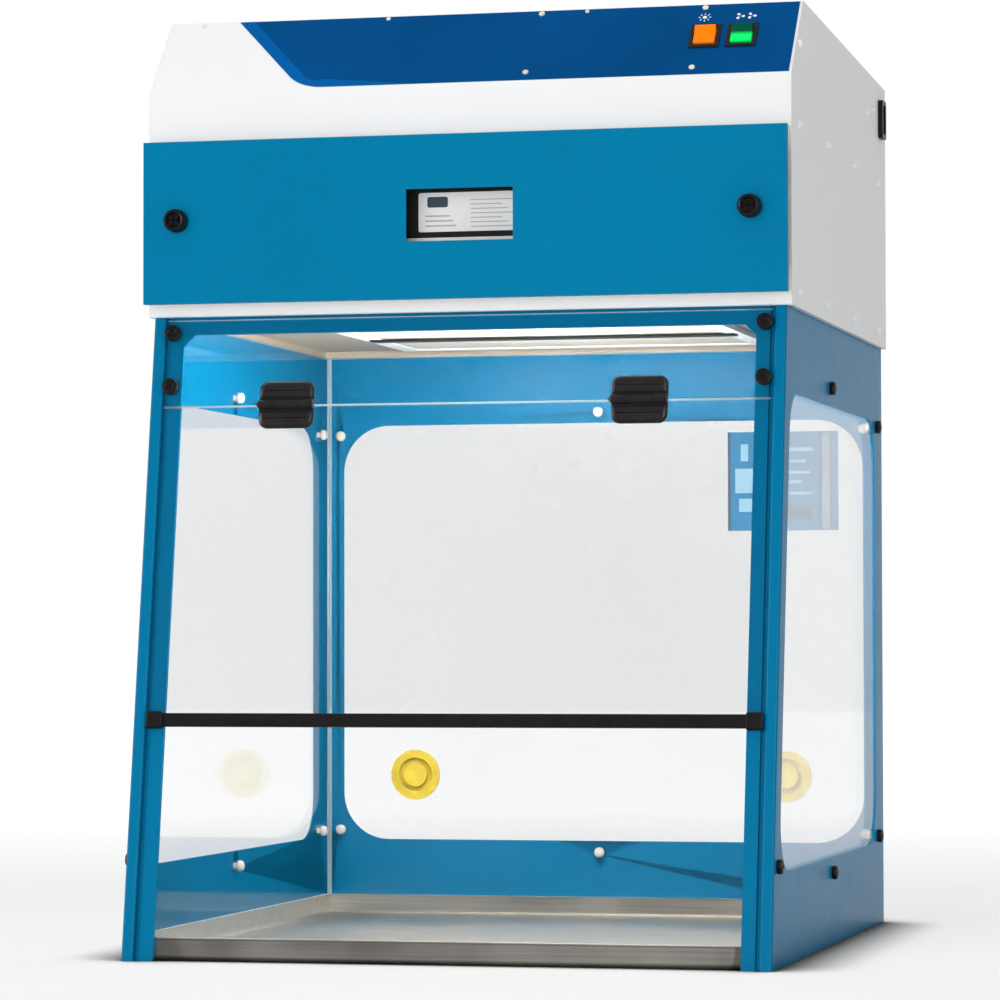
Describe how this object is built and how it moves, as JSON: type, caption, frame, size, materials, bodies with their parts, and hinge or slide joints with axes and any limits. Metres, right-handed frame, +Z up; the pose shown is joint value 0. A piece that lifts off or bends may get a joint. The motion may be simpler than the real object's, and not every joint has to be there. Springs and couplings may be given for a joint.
{
  "type": "ductless fume hood",
  "caption": "Bench-top filtered fume hood: blue sheet cabinet with clear windows, hinged clear sash, steel tray and white blower head.",
  "frame": {"origin": "middle of the cabinet's footprint, on the bench", "axes": "+Z up from the bench, +Y from the open front to the back, +X to the right of someone facing the front"},
  "size_m": [0.6292, 0.704, 0.895],
  "materials": {
    "cabinet_blue": "semi-gloss powder coat",
    "door_blue": "satin powder coat",
    "head_white": "satin powder coat",
    "stainless": "brushed",
    "clear_panel": "clear polished",
    "hinge_black": "matt black",
    "black_plastic": "matt moulded",
    "cream_plastic": "gloss moulded",
    "yellow_plastic": "gloss moulded",
    "card": "printed film",
    "filter_pad": "felt",
    "filter_black": "matt",
    "filter_media": "granular",
    "gasket": "foam",
    "inner_steel": "galvanised",
    "impeller_plastic": "moulded",
    "motor_alloy": "cast",
    "overlay_blue": "printed film",
    "lamp_orange": "translucent",
    "blower_green": "translucent",
    "pin_metal": "plated",
    "lamp_diffuser": "frosted"
  },
  "bodies": {
    "cabinet": {"right_side_wall": "cabinet_blue", "left_side_wall": "cabinet_blue", "back_wall": "cabinet_blue", "front_frame": "cabinet_blue", "work_tray": "stainless", "right_clear_panel": "clear_panel", "left_clear_panel": "clear_panel", "back_clear_panel": "clear_panel", "upper_sash_panel": "clear_panel", "hinge_upper_leaves": "hinge_black", "hinge_pins": "hinge_black", "sash_knobs": "black_plastic", "panel_screws": "black_plastic", "panel_nuts": "cream_plastic", "port_flanges": "yellow_plastic", "port_plugs": "yellow_plastic", "information_card": "card", "head_front_panel": "head_white", "head_left_side": "head_white", "head_right_side": "head_white", "head_top_cover": "head_white", "head_side_screws": "head_white", "exhaust_grille": "head_white", "head_rear_panel": "head_white", "head_base_pan": "head_white", "pre_filter_frame": "head_white", "pre_filter_pad": "filter_pad", "filter_door_frame": "head_white", "filter_case": "filter_black", "filter_media": "filter_media", "filter_gasket": "gasket", "filter_rails": "inner_steel", "fan_deck": "inner_steel", "inlet_ring": "inner_steel", "fan_motor": "motor_alloy", "motor_bracket": "inner_steel", "control_overlay": "overlay_blue", "lamp_switch_housing": "black_plastic", "blower_switch_housing": "black_plastic", "power_inlet": "black_plastic", "inlet_pins": "pin_metal", "work_lamp": "lamp_diffuser"},
    "sash": {"lower_sash_panel": "clear_panel", "hinge_lower_leaves": "hinge_black", "sash_edge_bar": "black_plastic", "sash_bar_ends": "black_plastic"},
    "lamp_switch": {"lamp_rocker": "lamp_orange"},
    "blower_switch": {"blower_rocker": "blower_green"},
    "door": {"filter_door": "door_blue"},
    "left_knob": {"door_knob_left": "black_plastic"},
    "right_knob": {"door_knob_right": "black_plastic"},
    "impeller": {"fan_impeller": "impeller_plastic"}
  },
  "joints": [
    {"name": "sash_hinge", "type": "hinge", "parent": "cabinet", "child": "sash", "pos_m": [0, -0.26883, 0.5187], "axis": [-1, 0, 0], "range_deg": [0, 150]},
    {"name": "door_slide", "type": "slide", "parent": "cabinet", "child": "door", "axis": [0, -1, 0], "range_m": [0, 0.02]},
    {"name": "left_knob_turn", "type": "hinge", "parent": "door", "child": "left_knob", "pos_m": [-0.275, -0.2737, 0.6933], "axis": [0, -1, 0], "continuous": true},
    {"name": "right_knob_turn", "type": "hinge", "parent": "door", "child": "right_knob", "pos_m": [0.275, -0.2737, 0.6933], "axis": [0, -1, 0], "continuous": true},
    {"name": "lamp_switch_rock", "type": "hinge", "parent": "cabinet", "child": "lamp_switch", "pos_m": [0.2225, -0.21566, 0.85934], "axis": [1, 0, 0], "range_deg": [-18, 0]},
    {"name": "blower_switch_rock", "type": "hinge", "parent": "cabinet", "child": "blower_switch", "pos_m": [0.2575, -0.21566, 0.85934], "axis": [1, 0, 0], "range_deg": [-18, 0]},
    {"name": "impeller_spin", "type": "hinge", "parent": "cabinet", "child": "impeller", "pos_m": [0, 0.05, 0.79], "axis": [0, 0, 1], "continuous": true}
  ]
}
